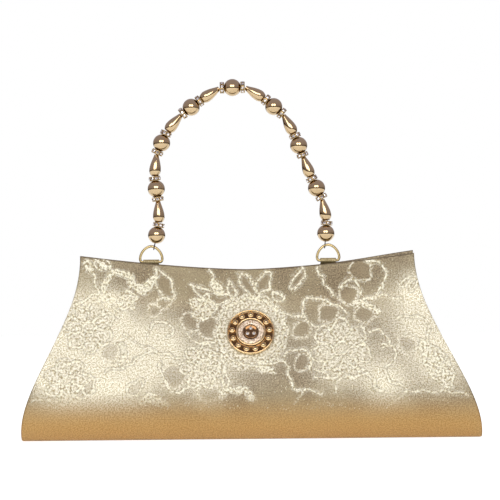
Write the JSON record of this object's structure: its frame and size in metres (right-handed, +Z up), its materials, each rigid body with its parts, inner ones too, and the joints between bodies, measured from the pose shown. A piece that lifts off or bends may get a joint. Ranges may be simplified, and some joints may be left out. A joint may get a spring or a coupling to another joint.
{
  "type": "clutch bag",
  "caption": "Gold brocade clutch with flared stiff covers, folded end gussets, a magnetic snap, a round front ornament and an arched bead handle on D-rings.",
  "frame": {"origin": "middle of the flat underside of the base, on the surface that the bag stands on", "axes": "+Z up, the front cover and its ornament face -Y, +X to the right as seen from the front"},
  "size_m": [0.318, 0.066, 0.2504],
  "materials": {
    "gold_brocade": "pale gold brocade woven with metallic thread, wrapped round stiff board",
    "satin_lining": "tan satin lining cloth",
    "gold_strap": "yellow gold strap, folded and stitched",
    "snap_nickel": "pale gold plated magnetic snap",
    "washer_steel": "plain steel washer",
    "ornament_gold": "polished gold plate",
    "frosted_silver": "frosted, slightly pink silver",
    "rhinestone": "clear cut glass with a pink cast",
    "ring_gold": "polished gold plated wire",
    "coated_wire": "dark coated beading wire",
    "bead_gold": "mirror gold plating on moulded beads",
    "rondelle_gold": "gold rim set with clear rhinestones"
  },
  "bodies": {
    "bag": {"back_cover": "gold_brocade", "back_lining": "satin_lining", "base_board": "gold_brocade", "base_lining": "satin_lining", "gusset_left": "satin_lining", "gusset_right": "satin_lining", "snap_stud": "snap_nickel", "snap_stud_washer": "washer_steel", "tab_left": "gold_strap", "tab_right": "gold_strap"},
    "front": {"front_cover": "gold_brocade", "front_lining": "satin_lining", "snap_socket": "snap_nickel", "snap_socket_washer": "washer_steel", "medallion_rim": "ornament_gold", "medallion_disc": "frosted_silver", "medallion_boss": "ornament_gold", "medallion_stone_1": "rhinestone", "medallion_stone_2": "rhinestone", "medallion_stone_3": "rhinestone", "medallion_washer": "washer_steel"},
    "ring_left": {"d_ring_left": "ring_gold"},
    "ring_right": {"d_ring_right": "ring_gold"},
    "handle": {"handle_wire": "coated_wire", "ball_bead_1": "bead_gold", "ball_bead_2": "bead_gold", "ball_bead_3": "bead_gold", "ball_bead_4": "bead_gold", "ball_bead_5": "bead_gold", "ball_bead_6": "bead_gold", "ball_bead_7": "bead_gold", "ball_bead_8": "bead_gold", "ball_bead_9": "bead_gold", "tapered_bead_1": "bead_gold", "tapered_bead_2": "bead_gold", "tapered_bead_3": "bead_gold", "tapered_bead_4": "bead_gold", "tapered_bead_5": "bead_gold", "tapered_bead_6": "bead_gold", "tapered_bead_7": "bead_gold", "tapered_bead_8": "bead_gold", "rondelle_1": "rondelle_gold", "rondelle_2": "rondelle_gold", "rondelle_3": "rondelle_gold", "rondelle_4": "rondelle_gold", "rondelle_5": "rondelle_gold", "rondelle_6": "rondelle_gold", "rondelle_7": "rondelle_gold", "rondelle_8": "rondelle_gold", "rondelle_9": "rondelle_gold", "rondelle_10": "rondelle_gold", "rondelle_11": "rondelle_gold", "rondelle_12": "rondelle_gold", "rondelle_13": "rondelle_gold", "rondelle_14": "rondelle_gold", "rondelle_15": "rondelle_gold", "rondelle_16": "rondelle_gold"}
  },
  "joints": [
    {"name": "front_open", "type": "hinge", "parent": "bag", "child": "front", "pos_m": [0, -0.018, 0], "axis": [1, 0, 0], "range_deg": [0, 20]},
    {"name": "ring_left_swing", "type": "hinge", "parent": "bag", "child": "ring_left", "pos_m": [-0.0692, 0, 0.1228], "axis": [1, 0, 0], "range_deg": [-70, 50]},
    {"name": "ring_right_swing", "type": "hinge", "parent": "bag", "child": "ring_right", "pos_m": [0.05464, 0, 0.1228], "axis": [1, 0, 0], "range_deg": [-70, 50]},
    {"name": "handle_swing", "type": "hinge", "parent": "ring_left", "child": "handle", "pos_m": [-0.067, 0, 0.13328], "axis": [1, 0, 0], "range_deg": [-90, 35]}
  ],
  "couplings": [
    {"joint": "ring_right_swing", "follows": "ring_left_swing", "ratio": 1}
  ]
}
